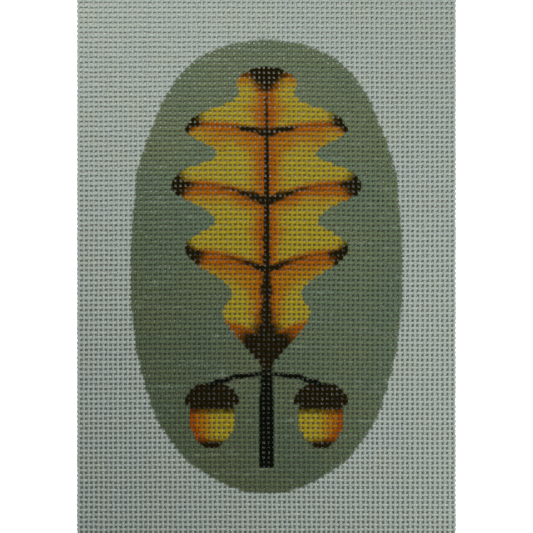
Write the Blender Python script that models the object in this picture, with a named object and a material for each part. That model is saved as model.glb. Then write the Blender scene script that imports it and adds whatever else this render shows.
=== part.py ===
"""A painted needlepoint canvas: a stiff, open cotton cloth of 18 threads to the inch, cut to a panel.

Metres, +Z up, the painted face upwards. X runs across the panel and Y up it. The origin is at the middle of the flat
back, so the cloth fills the millimetre above Z = 0. Warp threads run along Y and weft threads along X. The solid has
the weft as ridges on its face, the warp in its lower half, and the cut end of every thread round its edges.
"""

import bmesh
import bpy
from mathutils import Matrix, Vector

# Driving dimensions
THREADS_PER_INCH = 18
WARP_COUNT = 77
WEFT_COUNT = 114
THREAD_WIDTH = 0.00064
THREAD_HEIGHT = 0.00050
CUT_END = 0.00040

# Worked out from them
PITCH = 0.0254 / THREADS_PER_INCH
WOVEN_WIDTH = (WARP_COUNT - 1) * PITCH + THREAD_WIDTH
WOVEN_LENGTH = (WEFT_COUNT - 1) * PITCH + THREAD_WIDTH
THICKNESS = 2 * THREAD_HEIGHT

# How a thread is simplified
SINK = 0.1 * THREAD_HEIGHT
SHOULDER = 0.3 * THREAD_WIDTH

# Bare cotton as the photograph shows it
COTTON_COLOUR = (0.38, 0.42, 0.39, 1.0)
COTTON_ROUGHNESS = 0.85


def clear_scene():
    for item in list(bpy.data.objects):
        bpy.data.objects.remove(item, do_unlink=True)


def cotton():
    material = bpy.data.materials.new("sized_cotton")
    material.use_nodes = True
    shader = material.node_tree.nodes["Principled BSDF"]
    shader.inputs["Base Color"].default_value = COTTON_COLOUR
    shader.inputs["Roughness"].default_value = COTTON_ROUGHNESS
    shader.inputs["Metallic"].default_value = 0.0
    return material


def mesh_object(name, bm, collection):
    bmesh.ops.recalc_face_normals(bm, faces=bm.faces)
    mesh = bpy.data.meshes.new(name)
    bm.to_mesh(mesh)
    bm.free()
    item = bpy.data.objects.new(name, mesh)
    collection.objects.link(item)
    return item


def add_box(bm, size, centre):
    """A box of this size; returns its vertices."""
    made = bmesh.ops.create_cube(bm, size=1.0)["verts"]
    bmesh.ops.transform(bm, matrix=Matrix.Diagonal((*size, 1.0)), verts=made)
    bmesh.ops.translate(bm, vec=centre, verts=made)
    return made


def ground(collection):
    """The plain slab that the threads are joined to: as thick as the warp, and a little more so that ridges sink in."""
    bm = bmesh.new()
    height = THREAD_HEIGHT + SINK
    add_box(bm, (WOVEN_WIDTH, WOVEN_LENGTH, height), (0, 0, height / 2))
    return mesh_object("canvas", bm, collection)


def repeat_sideways(bm, count, direction):
    """Copies the one thread in bm so that there are count of them, a pitch apart and centred on the origin."""
    first = list(bm.verts) + list(bm.edges) + list(bm.faces)
    start = -(count - 1) / 2 * PITCH
    for index in range(1, count):
        copy = bmesh.ops.duplicate(bm, geom=first)["geom"]
        moved = [part for part in copy if isinstance(part, bmesh.types.BMVert)]
        bmesh.ops.translate(bm, vec=direction * (start + index * PITCH), verts=moved)
    moved = [part for part in first if isinstance(part, bmesh.types.BMVert)]
    bmesh.ops.translate(bm, vec=direction * start, verts=moved)


def weft_threads(collection):
    """Bars along X on the face. Their long upper edges are bevelled, as a round thread is seen from above."""
    bm = bmesh.new()
    height = THREAD_HEIGHT + SINK
    low = THREAD_HEIGHT - SINK
    add_box(bm, (WOVEN_WIDTH + 2 * CUT_END, THREAD_WIDTH, height), (0, 0, low + height / 2))
    top = low + height
    shoulders = [
        edge
        for edge in bm.edges
        if all(vert.co.z > top - SINK for vert in edge.verts)
        and abs(edge.verts[0].co.x - edge.verts[1].co.x) > WOVEN_WIDTH
    ]
    bmesh.ops.bevel(
        bm,
        geom=shoulders,
        offset=SHOULDER,
        offset_type="OFFSET",
        segments=1,
        profile=0.5,
        affect="EDGES",
        material=-1,
    )
    bmesh.ops.translate(bm, vec=(0, 0, THICKNESS - top), verts=bm.verts)
    repeat_sideways(bm, WEFT_COUNT, Vector((0, 1, 0)))
    return mesh_object("weft_threads", bm, collection)


def warp_threads(collection):
    """Bars along Y inside the slab, so that only their cut ends show at the top and bottom of the panel."""
    bm = bmesh.new()
    height = THREAD_HEIGHT - 2 * SINK
    add_box(bm, (THREAD_WIDTH, WOVEN_LENGTH + 2 * CUT_END, height), (0, 0, SINK + height / 2))
    repeat_sideways(bm, WARP_COUNT, Vector((1, 0, 0)))
    return mesh_object("warp_threads", bm, collection)


def join(body, threads):
    """One Boolean union makes the slab and all the threads one closed body; the loose threads then go."""
    union = body.modifiers.new("join_threads", "BOOLEAN")
    union.operation = "UNION"
    union.solver = "EXACT"
    union.operand_type = "COLLECTION"
    union.collection = threads
    graph = bpy.context.evaluated_depsgraph_get()
    joined = bpy.data.meshes.new_from_object(body.evaluated_get(graph))
    body.modifiers.clear()
    body.data = joined
    for item in list(threads.objects):
        bpy.data.objects.remove(item, do_unlink=True)
    bpy.data.collections.remove(threads)


def main():
    clear_scene()
    scene = bpy.context.scene.collection
    threads = bpy.data.collections.new("threads")
    scene.children.link(threads)
    canvas = ground(scene)
    weft_threads(threads)
    warp_threads(threads)
    join(canvas, threads)
    canvas.name = "canvas"
    canvas.data.name = "canvas"
    canvas.data.materials.clear()
    canvas.data.materials.append(cotton())


main()
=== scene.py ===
# %% [markdown]
# # A painted needlepoint canvas
#
# The real object is a stiff cotton cloth with open holes, woven plain: every thread goes over one and under
# one. A picture is painted on it by hand, as a guide for the wool that will be stitched over it. This file
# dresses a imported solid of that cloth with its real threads, its paint and the light it lies in.
#
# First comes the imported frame. Everything else takes its size and place from it.

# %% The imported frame
import math

import bmesh
import bpy
import numpy as np
from mathutils import Matrix, Vector


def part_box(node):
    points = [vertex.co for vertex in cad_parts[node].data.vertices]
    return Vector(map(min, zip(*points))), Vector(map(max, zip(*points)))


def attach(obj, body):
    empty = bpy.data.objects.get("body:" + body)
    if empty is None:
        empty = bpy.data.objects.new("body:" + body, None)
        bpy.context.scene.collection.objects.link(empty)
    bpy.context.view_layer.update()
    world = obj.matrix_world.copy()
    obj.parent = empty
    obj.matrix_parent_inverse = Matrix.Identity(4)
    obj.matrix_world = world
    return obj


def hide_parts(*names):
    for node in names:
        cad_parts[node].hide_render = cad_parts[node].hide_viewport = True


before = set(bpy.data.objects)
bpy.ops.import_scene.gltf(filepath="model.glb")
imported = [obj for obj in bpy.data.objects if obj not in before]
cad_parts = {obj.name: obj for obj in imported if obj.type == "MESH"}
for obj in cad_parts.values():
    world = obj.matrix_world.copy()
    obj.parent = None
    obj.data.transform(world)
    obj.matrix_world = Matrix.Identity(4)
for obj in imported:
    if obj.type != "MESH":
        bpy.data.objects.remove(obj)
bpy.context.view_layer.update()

MM = 0.001
INCH = 0.0254
low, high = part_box("canvas")
print("cloth with its cut ends:", [round(side / MM, 2) for side in high - low], "mm")

# %% [markdown]
# The thread count sets every other size. Eighteen threads to the inch is the usual mesh for a small
# ornament, and the frame's width and length then give how many threads there are each way. Warp threads run
# up the panel, along Y, and weft threads run across it, along X.

# %% Threads and their sizes
THREADS_PER_INCH = 18
PITCH = INCH / THREADS_PER_INCH
WARP_COUNT = int((high.x - low.x) / PITCH)
WEFT_COUNT = int((high.y - low.y) / PITCH)
THREAD_WIDTH = 0.75 * MM
THREAD_HEIGHT = (high.z - low.z) / 2
MIDDLE = (high.z + low.z) / 2
print(WARP_COUNT, "warp threads and", WEFT_COUNT, "weft threads,", round(PITCH / MM, 3), "mm apart")

# %% [markdown]
# A hand-made look comes from small, slow changes: no thread is quite straight or quite even. A sum of a few
# sine waves with random lengths and phases gives such a change. It is smooth, it never repeats within the
# panel, and a seeded generator makes it the same on every run.

# %% Slow random waves
SEED = 18
PARTS = 5
random = np.random.default_rng(SEED)


def waves(along, count, shortest, longest):
    """For each of count threads, a smooth curve along it, mostly within -1 and 1."""
    total = np.zeros((count, len(along)))
    for _ in range(PARTS):
        length = random.uniform(shortest, longest, (count, 1))
        phase = random.uniform(0, 2 * math.pi, (count, 1))
        total += np.sin(2 * math.pi * along[None, :] / length + phase)
    return total / math.sqrt(PARTS)


# %% [markdown]
# A thread starts as a flat strip: a grid with one row of faces for each side of the round thread, and four
# columns for each crossing. All the strips of one band are made in one bmesh, each parked at its own height,
# and rolled up together further down. create_grid also lays out a UV map, which later tells the material
# where on a thread it is.

# %% Flat strips
SIDES = 8
STEPS = 4
CLOSING = 2


def columns_for(crossings):
    return crossings * STEPS + CLOSING


def strips(name, count, crossings):
    """A mesh of count flat strips. In its vertices X and Y run from 0 to 1, and Z is the strip's number."""
    bm = bmesh.new()
    bm.loops.layers.uv.new("thread")
    for number in range(count):
        bmesh.ops.create_grid(
            bm,
            x_segments=columns_for(crossings),
            y_segments=SIDES,
            size=0.5,
            matrix=Matrix.Translation((0.5, 0.5, number)),
            calc_uvs=True,
        )
    mesh = bpy.data.meshes.new(name)
    bm.to_mesh(mesh)
    bm.free()
    return mesh


def read(data, key, width):
    values = np.empty(len(data) * width, np.float32)
    data.foreach_get(key, values)
    return values.reshape(-1, width).astype(float)


def write(data, key, values):
    data.foreach_set(key, values.astype(np.float32).ravel())


# %% [markdown]
# Paint makes a thread thicker, so the painted part has to be known before the threads are shaped. It is an
# oval with full shoulders. A superellipse gives it: the powers of the two distances add up to one along the
# edge, and a power above 2 fills out the corners of an ellipse. The function uses only plus, minus, abs and
# powers, so the same lines work on arrays of points here and on shader values further down.

# %% The painted oval
OVAL_HALF_WIDTH = 38.8
OVAL_HALF_HEIGHT = 64.8
OVAL_POWER = 2.3


def inside_oval(x, y):
    """About how many millimetres inside the oval a point is. It is negative outside."""
    across = (abs(x) / OVAL_HALF_WIDTH) ** OVAL_POWER
    up = (abs(y) / OVAL_HALF_HEIGHT) ** OVAL_POWER
    return (1 - (across + up) ** (1 / OVAL_POWER)) * OVAL_HALF_WIDTH


# %% [markdown]
# The whole cloth is a little out of square. Two slow waves each way bend rows and columns together, and they
# fade towards the edges, because the panel was cut straight.

# %% Out of square
DRIFT = 0.22 * MM
# Where the two waves of each drift start, and how many times shorter the second one is
SIDE_STARTS = (0.7, 1.9)
SIDE_SHORTER = 1.7
UP_STARTS = (2.1, 0.0)
UP_SHORTER = 1.3


def two_waves(first, second, starts):
    return DRIFT * np.sin(first + starts[0]) + DRIFT / 2 * np.sin(second + starts[1])


def drift(x, y):
    """Moves places on the cloth. Those on a cut edge don't leave it."""
    wave = 2 * math.pi / (high.x - low.x)
    side = two_waves(wave * y, SIDE_SHORTER * wave * x, SIDE_STARTS)
    up = two_waves(wave * x, UP_SHORTER * wave * y, UP_STARTS)
    return x + side * (1 - (x / high.x) ** 2), y + up * (1 - (y / high.y) ** 2)


# %% [markdown]
# Rolling up is one formula. The middle line of a thread is a cosine that rises over one crossing thread and
# sinks under the next. Sized canvas is pressed flat while it is still wet, so the threads sink into each
# other where they cross and their backs are squared off. Round the middle line goes a ring to match, an oval
# pushed out towards its corners by a power below 1, and leaned over so that it stays square to the line. The
# first and last ring shrink to a point, which closes the cut end with a flat disc.

# %% The shape of a woven thread
WANDER = 0.05 * MM
WANDER_LENGTHS = (3 * PITCH, 16 * PITCH)
SLUB = 0.04
SLUB_LENGTHS = (2 * PITCH, 9 * PITCH)
UNEVEN = 0.04
PRESS = 0.06
RISE = 0.34 * THREAD_HEIGHT
BULK = 0.60 * THREAD_HEIGHT
SWELL = 0.08
SQUARE = 0.7
TOP = 0.5 - 0.5 / SIDES
QUARTER_TURN = 0.25
PAINT_COAT = 0.14
CUT_BACK = 0.28 * MM
CUT_SPREAD = 0.04 * MM
CUT_LIMIT = 2 * CUT_SPREAD
CUT_FLARE = 1.08


def squared(wave):
    return np.sign(wave) * abs(wave) ** SQUARE


def roll_up(mesh, numbers, crossings, total, lengthwise):
    """Turns flat strips into threads, and returns their mean width.

    lengthwise is 0 for weft, which runs along X, and 1 for warp, along Y. It also shifts the swing by one
    crossing, so that a warp thread is down where a weft thread is up.
    """
    columns = columns_for(crossings)
    flat = read(mesh.vertices, "co", 3)
    ring = np.round(flat[:, 0] * columns).astype(int)
    turn = 2 * math.pi * (flat[:, 1] - TOP + QUARTER_TURN)
    sideways, upwards = squared(np.cos(turn)), squared(np.sin(turn))
    strip = np.round(flat[:, 2]).astype(int)
    count = len(numbers)

    station = (np.arange(columns + 1) - columns / 2) * PITCH / STEPS
    station[0], station[-1] = station[1], station[-2]
    along = np.tile(station, (count, 1))
    cut = random.normal(0, CUT_SPREAD, (count, 2)).clip(-CUT_LIMIT, CUT_LIMIT) - CUT_BACK
    along[:, :2] -= cut[:, :1]
    along[:, -2:] += cut[:, 1:]

    size = 1 + SLUB * waves(station, count, *SLUB_LENGTHS)
    size *= 1 + UNEVEN * random.standard_normal((count, 1))
    size[:, [1, -2]] *= CUT_FLARE
    size[:, [0, -1]] = 0
    size = size[strip, ring]
    wander = WANDER * waves(station, count, *WANDER_LENGTHS)

    phase = math.pi * (station / PITCH + (crossings - 1) / 2)[ring]
    swing = phase + math.pi * (numbers[strip] + lengthwise)
    tilt = np.arctan(-RISE * math.pi / PITCH * np.sin(swing))

    row = (numbers[strip] - (total - 1) / 2) * PITCH + wander[strip, ring]
    middle = (along[strip, ring], row) if lengthwise == 0 else (row, along[strip, ring])
    coat = 1 + PAINT_COAT * np.clip(inside_oval(middle[0] / MM, middle[1] / MM), 0, 1)
    half_width = THREAD_WIDTH / 2 * size * coat * (1 + PRESS * np.cos(2 * phase))
    half_height = BULK * size * (1 + SWELL * np.sin(phase) ** 2)

    lengths = along[strip, ring] - half_height * upwards * np.sin(tilt)
    across = row + half_width * sideways
    height = MIDDLE + RISE * np.cos(swing) + half_height * upwards * np.cos(tilt)
    place = (lengths, across) if lengthwise == 0 else (across, lengths)
    write(mesh.vertices, "co", np.stack([*drift(*place), height.clip(low.z, high.z)], axis=1))
    return 2 * half_width[half_width > 0].mean()


# %% [markdown]
# Two UV maps go on every thread. The first, called thread, counts crossings along the thread in U, and in V
# holds the thread's number plus the way round it, so one map gives a material the twist of the yarn and a
# number that is different for each thread. Weft threads count from 0, and warp threads from a number well
# above them. The second map only packs all strips side by side, which is what a texture bake needs.

# %% UV maps
EDGE = 0.02
BAKE_EDGE = 0.06
WARP_NUMBERS = 1000


def lay_out(mesh, numbers, crossings):
    thread = read(mesh.uv_layers["thread"].data, "uv", 2)
    corner = np.empty(len(mesh.loops), np.int32)
    mesh.loops.foreach_get("vertex_index", corner)
    strip = corner // ((columns_for(crossings) + 1) * (SIDES + 1))
    packed = np.stack(
        [EDGE + (1 - 2 * EDGE) * thread[:, 0],
         (strip + BAKE_EDGE + (1 - 2 * BAKE_EDGE) * thread[:, 1]) / len(numbers)],
        axis=1,
    )
    write(mesh.uv_layers.new(name="OFBake").data, "uv", packed)
    thread[:, 0] *= columns_for(crossings) / STEPS
    thread[:, 1] = numbers[strip] + EDGE + (1 - 2 * EDGE) * thread[:, 1]
    write(mesh.uv_layers["thread"].data, "uv", thread)


# %% [markdown]
# The rolled strips still have an open seam underneath. Merging the doubled points closes it, and it also
# closes the rings that shrank to a point at both ends. Then every thread is a closed solid.

# %% One set of threads
SEAM = 0.001 * MM
SHARP = math.radians(60)


def close_up(mesh):
    """Merges doubled points and turns every face outwards. Returns the counts of triangles and open edges."""
    bm = bmesh.new()
    bm.from_mesh(mesh)
    bmesh.ops.remove_doubles(bm, verts=bm.verts, dist=SEAM)
    bmesh.ops.recalc_face_normals(bm, faces=bm.faces)
    open_edges = sum(not edge.is_manifold for edge in bm.edges)
    triangles = len(bm.calc_loop_triangles())
    bm.to_mesh(mesh)
    bm.free()
    mesh.shade_smooth()
    mesh.set_sharp_from_angle(angle=SHARP)
    return triangles, open_edges


def piece_of_cloth(name, mesh, material):
    mesh.materials.append(material)
    piece = bpy.data.objects.new(name, mesh)
    bpy.context.scene.collection.objects.link(piece)
    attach(piece, "root")
    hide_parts("canvas")
    return piece


# %% [markdown]
# ## Shader sums
#
# Materials are easier to read as sums than as boxes and wires. This small class wraps one output of a node.
# Python's operators on it add the Math nodes, and its node method adds any other node.

# %% A wire that can be added and multiplied
NOISE_SPREAD = 4
SMOOTH_DETAIL = 1.0
PLAIN_DETAIL = 2.0
FINE_DETAIL = 3.0
GAMMA = 2.2


class Wire:
    def __init__(self, tree, socket=None):
        self.tree = tree
        self.socket = socket

    def node(self, kind, sockets, settings=None, out=0):
        """A new node. Its settings are set first, then its sockets, each to a value or to another wire."""
        made = self.tree.nodes.new(kind)
        for key, value in (settings or {}).items():
            setattr(made, key, value)
        for key, value in sockets.items():
            if isinstance(value, Wire):
                self.tree.links.new(value.socket, made.inputs[key])
            else:
                made.inputs[key].default_value = value
        return Wire(self.tree, made.outputs[out] if len(made.outputs) else None)

    def math(self, operation, *others):
        sockets = dict(enumerate([self, *others]))
        return self.node("ShaderNodeMath", sockets, {"operation": operation})

    def __add__(self, other):
        return self.math("ADD", other)

    def __mul__(self, other):
        return self.math("MULTIPLY", other)

    def __sub__(self, other):
        return self.math("SUBTRACT", other)

    def __rsub__(self, other):
        return self.node("ShaderNodeMath", {0: other, 1: self}, {"operation": "SUBTRACT"})

    def __truediv__(self, other):
        return self.math("DIVIDE", other)

    def __abs__(self):
        return self.math("ABSOLUTE")

    def __pow__(self, power):
        return self.math("POWER", power)

    def smallest(self, other):
        return self.math("MINIMUM", other)

    def largest(self, other):
        return self.math("MAXIMUM", other)

    def rise(self, start, end):
        """0 up to start and 1 from end on, with a smooth ramp between. It falls if start is the larger."""
        sockets = {"Value": self, "From Min": start, "From Max": end}
        return self.node("ShaderNodeMapRange", sockets, {"interpolation_type": "SMOOTHSTEP"})


def blend(factor, first, second):
    """The first colour where factor is 0, and the second where it is 1."""
    return factor.node("ShaderNodeMix", {0: factor, 6: first, 7: second}, {"data_type": "RGBA"}, out=2)


def between(factor, first, second):
    """The first number where factor is 0, and the second where it is 1."""
    return factor.node("ShaderNodeMix", {0: factor, 2: first, 3: second}, {"data_type": "FLOAT"})


def times(first, second):
    """Two colours multiplied, part by part."""
    settings = {"data_type": "RGBA", "blend_type": "MULTIPLY"}
    return first.node("ShaderNodeMix", {0: 1.0, 6: first, 7: second}, settings, out=2)


def point(x, y, z=0.0):
    first = next(part for part in (x, y, z) if isinstance(part, Wire))
    return first.node("ShaderNodeCombineXYZ", {0: x, 1: y, 2: z})


def mottle(place, size=1.0, detail=PLAIN_DETAIL):
    """Cloudy noise with patches of about that size, mostly within -1 and 1."""
    noise = place.node("ShaderNodeTexNoise", {"Vector": place, "Scale": 1 / size, "Detail": detail})
    return noise * NOISE_SPREAD - NOISE_SPREAD / 2


def screen(red, green, blue):
    """A colour as it is picked from a screen, from 0 to 255, in the numbers that light is added in."""
    return (*[(part / 255) ** GAMMA for part in (red, green, blue)], 1)


def new_material(name):
    """An empty material, and a first wire to build its nodes from."""
    material = bpy.data.materials.new(name)
    material.use_nodes = True
    material.node_tree.nodes.clear()
    return material, Wire(material.node_tree)


def place_in_mm(start):
    """X and Y on the cloth, in millimetres from its middle."""
    place = start.node("ShaderNodeTexCoord", {}, out="Object")
    return [place.node("ShaderNodeSeparateXYZ", {0: place}, out=axis) / MM for axis in "XY"]


# %% [markdown]
# ## The painted design
#
# All places on the cloth are in millimetres from its middle. A painter works from thread to thread, so an
# edge steps with the mesh and is not a clean curve. Moving each point part of the way to the nearest
# crossing gives those steps.

# %% Steps with the mesh
STEPPED = 0.4
PITCH_MM = PITCH / MM


def to_crossing(place, count):
    """Part of the way from a place to the nearest thread of a set of count threads."""
    shift = ((count - 1) % 2) / 2
    nearest = ((place / PITCH_MM + shift).math("ROUND") - shift) * PITCH_MM
    return place + (nearest - place) * STEPPED


# %% [markdown]
# The green ground fills the oval. A slow mottle bends its edge by half a millimetre, as a hand does.

# %% The edge of the ground
OVAL_WOBBLE = 0.5
PAINT_EDGE = 0.25


def ground(x, y, hand):
    """1 inside the painted oval. hand is the slow mottle of the brush."""
    return (inside_oval(x, y) + hand * OVAL_WOBBLE).rise(-PAINT_EDGE, PAINT_EDGE)


# %% [markdown]
# On it stands an oak leaf with an acorn on each side of its stalk, a plain autumn figure that is the same on
# both sides of the middle line. Working with the distance from that line, and not with x itself, draws both
# at once.
#
# The side veins of an oak leaf slant up from its midrib and level out. With their climb taken off, the
# height says which lobe a place belongs to. The leaf is as wide as one smooth hump along its length, and a
# cosine bites into it between the lobes. Towards the tip the climb fades, because the lobe there stands
# straight up.

# %% The outline of the oak leaf
LEAF_BASE = -31.0
LEAF_LENGTH = 88.0
LEAF_HALF_WIDTH = 27.0
LOBES = 4.5
LOBE_LENGTH = LEAF_LENGTH / LOBES
SLANT = 0.5
LEVELLING = 0.012
FADE = 30.0
WIDEST = 1.2
FULLNESS = 0.6
BITE = 0.45
BITE_POWER = 1.4


def oak_leaf(side, up):
    """How far inside the leaf a place is, the half-width there, and its lobe as a count from the base."""
    to_tip = ((LEAF_BASE + LEAF_LENGTH - up) / FADE).largest(0.0).smallest(1.0)
    climb = side * (SLANT - side * LEVELLING) * to_tip
    sloped = (up - climb - LEAF_BASE) / LEAF_LENGTH
    share = sloped.largest(0.0).smallest(1.0)
    lobe = share * LOBES
    hump = ((share ** WIDEST * math.pi).math("SINE") ** FULLNESS) * LEAF_HALF_WIDTH
    bite = ((lobe * 2 * math.pi).math("COSINE") * 0.5 + 0.5) ** BITE_POWER * BITE
    width = hump * (1 - bite)
    beyond = abs(sloped - share) * LEAF_LENGTH
    return width - side - beyond, width, lobe


# %% [markdown]
# An acorn is an oval nut that hangs in a half-oval cup. A thin stalk arches from the leaf's own stalk to the
# cup.

# %% Acorns and stalks
NUT_MIDDLE = (15.5, -43.5)
NUT_HALF_SIZE = (6.2, 8.6)
CUP_MIDDLE = (15.5, -39.0)
CUP_HALF_SIZE = (7.6, 5.6)
CUP_LIP = 0.8
STALK_FOOT = -58.0
STALK_HALF_WIDTH = (2.4, 1.7)
STALK_OVERLAP = 4
BRANCH_UP = -31.0
BRANCH_DROP = 3.0
BRANCH_HALF_WIDTH = 0.8


def in_ellipse(side, up, middle, half_size):
    """About how many millimetres inside an upright ellipse a place is."""
    across = abs(side - middle[0]) / half_size[0]
    along = abs(up - middle[1]) / half_size[1]
    return (1 - (across ** 2 + along ** 2) ** 0.5) * half_size[0]


def stalks(side, up):
    """How far inside the leaf's stalk or an acorn's branch a place is."""
    half = between(up.rise(STALK_FOOT, LEAF_BASE), *STALK_HALF_WIDTH)
    main = (half - side).smallest(up - STALK_FOOT).smallest(LEAF_BASE + STALK_OVERLAP - up)
    arch = BRANCH_UP - (side / CUP_MIDDLE[0]) ** 2 * BRANCH_DROP
    branch = (BRANCH_HALF_WIDTH - abs(up - arch)).smallest(CUP_MIDDLE[0] + BRANCH_HALF_WIDTH - side)
    return main.largest(branch)


# %% [markdown]
# The paint is thin acrylic, blended wet on the cloth. The ground drifts a little between olive and
# grey-green in long strokes across, and is darker towards the lower left. Each pattern of strokes or flecks
# is cut from the same noise, in a slice of its own, so that no two are alike.

# %% Colours of the ground
COTTON = screen(198, 211, 204)
COTTON_WARM = screen(200, 210, 198)
GROUND_OLIVE = screen(125, 138, 103)
GROUND_GREY = screen(115, 135, 109)
GROUND_LIGHT = screen(166, 182, 152)
GROUND_DARK = screen(60, 72, 48)

HAND_SLICE = 1.0
TONE_SLICE = 2.0
FLECK_SLICE = 3.0
FRAY_SLICE = 5.0
STROKE_SLICE = 7.0
SOAK_SLICE = 9.0

HUE_SIZE = 26.0
HUE_STROKES = 0.5
HUE_RANGE = (-0.9, 0.9)
STROKE_SIZE = 2.4
STROKE_STRETCH = 9
FLECK_SIZE = 1.1
FLECK_STRETCH = 2.5
LIGHT_STROKES = 0.6
LIGHT_FLECKS = 0.5
LIGHT_RANGE = (0.1, 1.6)
DARKENED = 0.3
DARKENED_ACROSS = 0.8
DARKENED_RANGE = (15.0, -60.0)


def ground_colour(x, y):
    hue = mottle(point(x, y), HUE_SIZE)
    stroke = mottle(point(x / STROKE_STRETCH, y, STROKE_SLICE), STROKE_SIZE, detail=FINE_DETAIL)
    fleck = mottle(point(x / FLECK_STRETCH, y, FLECK_SLICE), FLECK_SIZE)
    base = blend((hue + stroke * HUE_STROKES).rise(*HUE_RANGE), GROUND_OLIVE, GROUND_GREY)
    # Darker towards the lower left.
    base = blend((y + x * DARKENED_ACROSS).rise(*DARKENED_RANGE) * DARKENED, base, GROUND_DARK)
    return blend((stroke * LIGHT_STROKES + fleck * LIGHT_FLECKS).rise(*LIGHT_RANGE), base, GROUND_LIGHT)


# %% [markdown]
# The leaf is flat yellow between its veins. Below each vein it turns orange, more in some lobes than in
# others, and dry wedges of brown run in from its foot, its tip and the ends of its lobes. Each part is a
# mask: how far inside it a place is, bent by streaks and clouds of the paint, and the range of millimetres
# over which it comes in.

# %% Colours of the leaf and the nuts
YELLOW = screen(190, 170, 50)
ORANGE = screen(188, 122, 22)
DEEP_ORANGE = screen(176, 88, 14)
BROWN = screen(40, 33, 5)
STALK_COLOUR = screen(18, 24, 11)

# How close the pattern is across a lobe and along it, how far apart it is cut for each lobe, and its detail
STREAKS = (0.09, 0.5, 3.0, FINE_DETAIL)
CLOUDS = (0.06, 0.1, 5.0, PLAIN_DETAIL)
STREAK_FRAY = 0.35
LEAST_WIDTH = 0.5

ORANGE_STOPS = (2.4, 0.2)
ORANGE_HALF_WIDTH = 5.0
DEEP_STOPS = (1.4, 0.0)
DEEP_HALF_WIDTH = 2.6
DEEP_STRENGTH = 0.7
VEIN_HALF_WIDTH = 1.5
VEIN_TAPER = 2.4
RIB_HALF_WIDTH = 2.0
RIB_TAPER = 1.9
# For each wedge of brown: where it starts, how fast it deepens from there, and how fast it narrows
LOBE_WEDGE = (0.7, 13, 0.9)
FOOT_WEDGE = (0.2, -34, 0.5)
TIP_WEDGE = (0.9, 46, 0.4)
LOWEST_LOBES = (0.15, 0.3)

NUT_FRAY = 0.3
NUT_ORANGE = (-1.5, 3.5)
NUT_RIM = (2.2, 0.6)
NUT_OUTER_SIDE = (-3.0, 1.0)
CUP_SHADOW = (-4.5, -1.5)
NUT_POINT = 2.2
NUT_POINT_RANGE = (-0.6, 0.8)


def leaf_colour(side, width, lobe, fray):
    """The blended colours of the leaf. Lengths along a lobe count from its vein, above zero to the tip."""
    number = lobe.math("FLOOR")
    share = lobe / LOBES
    place = side / (width + LEAST_WIDTH)
    from_vein = (lobe.math("FRACT") - 0.5) * LOBE_LENGTH
    away = abs(from_vein)

    def pattern(across, along, apart, detail):
        return mottle(point(side * across, from_vein * along, number * apart), detail=detail)

    streak = pattern(*STREAKS) + fray * STREAK_FRAY
    cloud = pattern(*CLOUDS)

    def mask(inside, streaks, clouds, comes_in):
        return (inside + streak * streaks + cloud * clouds).rise(*comes_in)

    def wedge(start, deepening, narrowing, inwards, sideways):
        return (inwards - start) * deepening - sideways * narrowing

    below = mask(from_vein, streaks=0.8, clouds=3.5, comes_in=(-8.5, -2.2)) * from_vein.rise(*ORANGE_STOPS)
    middle = mask(ORANGE_HALF_WIDTH - side, streaks=1.0, clouds=1.5, comes_in=(-2.0, 3.0))
    colour = blend(below.largest(middle), YELLOW, ORANGE)
    deep = mask(from_vein, streaks=0.6, clouds=1.5, comes_in=(-4.0, -0.8)) * from_vein.rise(*DEEP_STOPS)
    seam = mask(DEEP_HALF_WIDTH - side, streaks=0.5, clouds=0.0, comes_in=(-0.8, 1.2))
    colour = blend(deep.largest(seam) * DEEP_STRENGTH, colour, DEEP_ORANGE)

    in_vein = VEIN_HALF_WIDTH - away - place * VEIN_TAPER
    in_rib = RIB_HALF_WIDTH - share * RIB_TAPER - side
    vein = mask(in_vein, streaks=0.6, clouds=0.4, comes_in=(-0.5, 0.8))
    rib = mask(in_rib, streaks=0.45, clouds=0.0, comes_in=(-0.3, 0.5))
    lobe_end = mask(wedge(*LOBE_WEDGE, place, away), streaks=0.8, clouds=1.2, comes_in=(-0.6, 1.6))
    lobe_end = lobe_end * share.rise(*LOWEST_LOBES)
    foot = mask(wedge(*FOOT_WEDGE, share, side), streaks=0.9, clouds=1.0, comes_in=(-1.2, 1.4))
    tip = mask(wedge(*TIP_WEDGE, share, side), streaks=0.7, clouds=0.0, comes_in=(-0.6, 1.6))
    return blend(vein.largest(rib).largest(lobe_end).largest(foot).largest(tip), colour, BROWN)


def nut_colour(side, up, inside, fray):
    outwards = side - NUT_MIDDLE[0] + fray * NUT_FRAY
    colour = blend(outwards.rise(*NUT_ORANGE), YELLOW, ORANGE)
    colour = blend(inside.rise(*NUT_RIM) * outwards.rise(*NUT_OUTER_SIDE), colour, DEEP_ORANGE)
    below_cup = (up - CUP_MIDDLE[1] + fray * NUT_FRAY).rise(*CUP_SHADOW)
    point_end = (NUT_MIDDLE[1] - NUT_HALF_SIZE[1] + NUT_POINT - up).rise(*NUT_POINT_RANGE)
    return blend(below_cup.largest(point_end), colour, BROWN)


# %% [markdown]
# All of the picture comes together in one function of a place on the cloth. The acorns are painted first,
# then the stalks, and the leaf over them. Only the fine fray of the edges differs between the two sides. The
# slow waver of the hand is taken from a rounded distance, because a plain one would leave a kink on the
# middle line.

# %% The picture
FRAY = 0.18
FRAY_SIZE = 0.9
WAVER = 0.5
WAVER_SIZE = 17.0
STALK_STEADIER = 0.5
ROUNDING = 11.0


def shape(inside, hand):
    """1 in a painted shape, known by how far inside it a place is."""
    return (inside + hand * WAVER).rise(-PAINT_EDGE, PAINT_EDGE)


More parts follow.
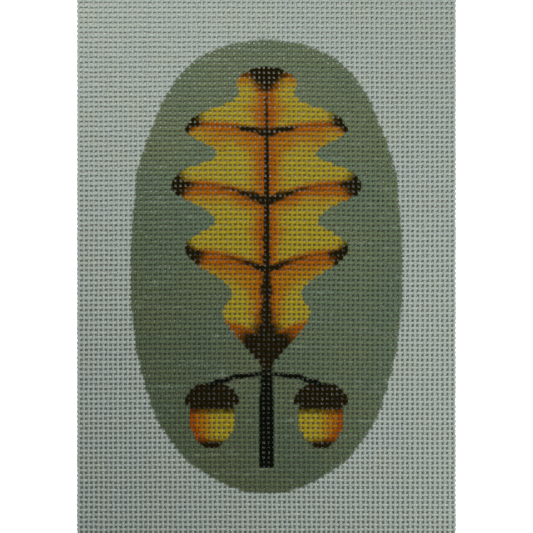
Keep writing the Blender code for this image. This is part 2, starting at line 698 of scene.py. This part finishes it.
def painting(x, y):
    """How much paint there is at a place, and its colour."""
    fray = mottle(point(x, y, FRAY_SLICE), FRAY_SIZE)
    side = abs(to_crossing(x, WARP_COUNT) + fray * FRAY)
    up = to_crossing(y, WEFT_COUNT) + fray * FRAY
    rounded = (side ** 2 + ROUNDING ** 2) ** 0.5
    hand = mottle(point(rounded, up, HAND_SLICE), WAVER_SIZE, detail=SMOOTH_DETAIL)

    in_nut = in_ellipse(side, up, NUT_MIDDLE, NUT_HALF_SIZE)
    in_cup = in_ellipse(side, up, CUP_MIDDLE, CUP_HALF_SIZE).smallest(up - CUP_MIDDLE[1] + CUP_LIP)
    in_leaf, width, lobe = oak_leaf(side, up)

    colour = ground_colour(x, y)
    colour = blend(shape(in_nut, hand), colour, nut_colour(side, up, in_nut, fray))
    colour = blend(shape(in_cup, hand), colour, BROWN)
    colour = blend(shape(stalks(side, up), hand * STALK_STEADIER), colour, STALK_COLOUR)
    colour = blend(shape(in_leaf, hand), colour, leaf_colour(side, width, lobe, fray))
    return ground(side, up, hand), colour


# %% [markdown]
# Cotton under the paint is not one colour either. Each thread has its own tone, set by a random number made
# from its place in the UV map, and the yarn has a slanting twist that shows as faint ridges, with painted
# shade darkening the grooves between them. The warp threads get a painted shade that the weft threads
# don't, twice as much where there is paint, for light from the top that catches the weft more.
# Thin paint soaks down the sides of a thread, and most of it comes through to the back.

# %% The material of every thread
TWISTS = 2.6
TWIST_SLANT = 2
RIDGE = 0.03 * MM
TWIST_RELIEF = 0.7
# How close the fibres are along the thread and around it, and how far apart they are cut for each thread
FIBRES = (1.5, 14, 50)
FIBRE_RELIEF = 0.35
FIBRE_RANGE = (0.2, 1.2)
PAINTED_RELIEF = 0.55
GROOVE_PAINTED_SHADE = 0.17
UNEVEN_SHADE = 0.05
WARP_PAINTED_SHADE = 0.07
TONE_SIZE = 7.0
TONE_RANGE = (-0.4, 1.6)
SOAK_SIZE = 2.0
SOAK_UNEVEN = 0.12
SOAK_RANGE = (0.16, 0.4)
SOAKED_THROUGH = 0.85
ROUGHNESS = (0.92, 0.75)
SHEEN = 0.05


def painted_cotton():
    material, start = new_material("painted_cotton")
    x, y = place_in_mm(start)
    uv = start.node("ShaderNodeUVMap", {}, {"uv_map": "thread"})
    along, row = (uv.node("ShaderNodeSeparateXYZ", {0: uv}, out=axis) for axis in "XY")
    around = row.math("FRACT")
    number = row.math("FLOOR")
    topness = 1 - abs(around - TOP) * 2
    tone = number.node("ShaderNodeTexWhiteNoise", {"W": number}, {"noise_dimensions": "1D"})

    painted, colour = painting(x, y)
    soaked = mottle(point(x, y, SOAK_SLICE), SOAK_SIZE)
    reach = (topness + soaked * SOAK_UNEVEN).rise(*SOAK_RANGE)
    cover = painted * between(reach, SOAKED_THROUGH, 1.0)
    patches = mottle(point(x, y, TONE_SLICE), TONE_SIZE)
    cotton_colour = blend((patches + tone).rise(*TONE_RANGE), COTTON, COTTON_WARM)
    colour = blend(cover, cotton_colour, colour)

    twist = ((along * TWISTS + around * TWIST_SLANT) * math.pi).math("SINE")
    fibre_place = point(along * FIBRES[0], around * FIBRES[1], tone * FIBRES[2])
    fibre = mottle(fibre_place, detail=FINE_DETAIL)
    relief = (abs(twist) * TWIST_RELIEF + fibre * FIBRE_RELIEF) * between(cover, 1.0, PAINTED_RELIEF)
    # Painted shade: warp threads darker than weft, twice as much under paint.
    deep = row.math("GREATER_THAN", WARP_NUMBERS - 0.5) * (cover + 1) * WARP_PAINTED_SHADE
    # Painted shade in the grooves of the twist.
    groove_shade = (1 - abs(twist)) * GROOVE_PAINTED_SHADE
    # Painted shade from grooves and warp, with the random tone of fibres and threads.
    painted_shade_and_tone = 1 - groove_shade - (fibre.rise(*FIBRE_RANGE) + (1 - tone)) * UNEVEN_SHADE - deep
    sockets = {
        "Base Color": times(colour, point(painted_shade_and_tone, painted_shade_and_tone, painted_shade_and_tone)),
        "Roughness": between(cover, *ROUGHNESS),
        "Normal": relief.node("ShaderNodeBump", {"Height": relief, "Distance": RIDGE, "Strength": 1.0}),
        "Specular IOR Level": SHEEN,
    }
    shader = start.node("ShaderNodeBsdfPrincipled", sockets)
    start.node("ShaderNodeOutputMaterial", {"Surface": shader})
    print("painted cotton:", len(material.node_tree.nodes), "nodes")
    return material


cotton = painted_cotton()

# %% [markdown]
# ## Weaving
#
# The weave is cut into bands, three of weft and three of warp, so that no mesh is too heavy to handle.

# %% Weft and warp
SETS = (
    # name, its bands, threads in it, threads that each one crosses, whether it runs lengthwise
    ("weft", ("lower", "middle", "upper"), WEFT_COUNT, WARP_COUNT, 0),
    ("warp", ("left", "middle", "right"), WARP_COUNT, WEFT_COUNT, 1),
)


def weave(name, numbers, crossings, total, lengthwise):
    mesh = strips(name, len(numbers), crossings)
    width = roll_up(mesh, numbers, crossings, total, lengthwise)
    lay_out(mesh, numbers + WARP_NUMBERS * lengthwise, crossings)
    triangles, open_edges = close_up(mesh)
    piece = piece_of_cloth(name, mesh, cotton)
    len(numbers) * width * crossings * PITCH
    print(name, len(numbers), "threads,", round(width / MM, 3), "mm wide,", triangles, "triangles")
    if open_edges:
        print(name, "has", open_edges, "open edges")


for name, bands, total, crossings, lengthwise in SETS:
    for band, numbers in zip(bands, np.array_split(np.arange(total), len(bands))):
        weave(name + "_" + band, numbers, crossings, total, lengthwise)

# %% [markdown]
# ## The surface, the light and the camera
#
# The cloth lies on a plain, slightly warm white surface. It glows a little, as a light table does, so that
# it stays white in soft light. The glow stops under the cloth, which paints a shadow there, so what shows
# through the holes is the same white in the shade of the threads, and it takes its hue from the light that
# they throw on it.

# %% Colour of the surface
SHADED_EDGE = 0.8
WHITE = (0.9, 0.9, 0.82, 1)
MATT = 0.9
GLOWING = (1, 1, 1, 1)
UNLIT = (0, 0, 0, 1)
GLOW = 0.86


def within(place, half):
    """1 within half a size of the middle, and 0 outside it."""
    return abs(place).rise(half, half - SHADED_EDGE)


def floor_material():
    material, start = new_material("white_surface")
    x, y = place_in_mm(start)
    # Painted shadow: no glow within the cloth's outline.
    painted_cloth_shadow = within(x, WARP_COUNT * PITCH_MM / 2) * within(y, WEFT_COUNT * PITCH_MM / 2)
    lit = blend(painted_cloth_shadow, GLOWING, UNLIT)
    sockets = {"Base Color": WHITE, "Roughness": MATT, "Emission Color": lit, "Emission Strength": GLOW}
    shader = start.node("ShaderNodeBsdfPrincipled", sockets)
    start.node("ShaderNodeOutputMaterial", {"Surface": shader})
    return material


# %% [markdown]
# The surface is far larger than the cloth, and its rim sweeps up into a low wall, as a paper backdrop does.
# So a picture taken from low down at the side has no horizon in it.

# %% Floor
FLOOR_SIDE = 6.0
WALL_HEIGHT = 0.6
SWEEP = 0.4
SWEEP_STEPS = 8


def lay_floor():
    bm = bmesh.new()
    bmesh.ops.create_grid(bm, x_segments=1, y_segments=1, size=FLOOR_SIDE / 2)
    bmesh.ops.translate(bm, vec=(0, 0, low.z), verts=bm.verts)
    rim = list(bm.edges)
    wall = bmesh.ops.extrude_edge_only(bm, edges=rim)["geom"]
    raised = [part for part in wall if isinstance(part, bmesh.types.BMVert)]
    bmesh.ops.translate(bm, vec=(0, 0, WALL_HEIGHT), verts=raised)
    bmesh.ops.bevel(
        bm,
        geom=rim,
        offset=SWEEP,
        offset_type="OFFSET",
        segments=SWEEP_STEPS,
        profile=0.5,
        affect="EDGES",
        material=-1,
    )
    mesh = bpy.data.meshes.new("floor")
    bm.to_mesh(mesh)
    bm.free()
    mesh.materials.append(floor_material())
    mesh.shade_smooth()
    floor = bpy.data.objects.new("floor", mesh)
    bpy.context.scene.collection.objects.link(floor)
    print("floor:", len(mesh.polygons), "faces,", FLOOR_SIDE, "m wide, with a wall of", WALL_HEIGHT, "m")


lay_floor()

# %% [markdown]
# Two soft lamps stand close to the panel. The main one is beyond its top edge, so the shadow of each weft
# thread falls into the upper part of the hole below it, and the light fades and comes in lower towards the
# bottom edge. A second one on the right keeps that side from going dark. White light from everywhere fills
# the shadows.

# %% Light
FILL = 0.17
LAMPS = {
    # name: place, side of its square panel, watts
    "main_lamp": (Vector((-0.060, 0.157, 0.197)), 0.03, 0.242),
    "side_lamp": (Vector((0.187, -0.060, 0.172)), 0.04, 0.252),
}


def light_the_room():
    world = bpy.data.worlds.new("studio")
    world.use_nodes = True
    background = world.node_tree.nodes["Background"]
    background.inputs["Color"].default_value = (1, 1, 1, 1)
    background.inputs["Strength"].default_value = FILL
    bpy.context.scene.world = world
    for name, (place, size, watts) in LAMPS.items():
        light = bpy.data.lights.new(name, "AREA")
        light.size = size
        light.energy = watts
        lamp = bpy.data.objects.new(name, light)
        lamp.location = place
        lamp.rotation_euler = (-place).to_track_quat("-Z", "Y").to_euler()
        bpy.context.scene.collection.objects.link(lamp)
    print("lamps:", ", ".join(LAMPS))


light_the_room()

# %% [markdown]
# The camera looks straight down. Its lens follows from what it has to take in: the picture is as wide as 108
# threads of the cloth, and its middle is a little below the middle of the panel.

# %% Camera
PICTURE_WIDTH = 152.2 * MM
CAMERA_HEIGHT = 0.9
AIM = -0.36 * MM
SENSOR = 36.0


def set_up_camera():
    data = bpy.data.cameras.new("camera")
    data.sensor_width = SENSOR
    data.lens = SENSOR * (CAMERA_HEIGHT - MIDDLE) / PICTURE_WIDTH
    camera = bpy.data.objects.new("camera", data)
    camera.location = (0, AIM, CAMERA_HEIGHT)
    bpy.context.scene.collection.objects.link(camera)
    bpy.context.scene.camera = camera
    bpy.context.scene.view_settings.view_transform = "Standard"
    print("lens", round(data.lens), "mm")


set_up_camera()
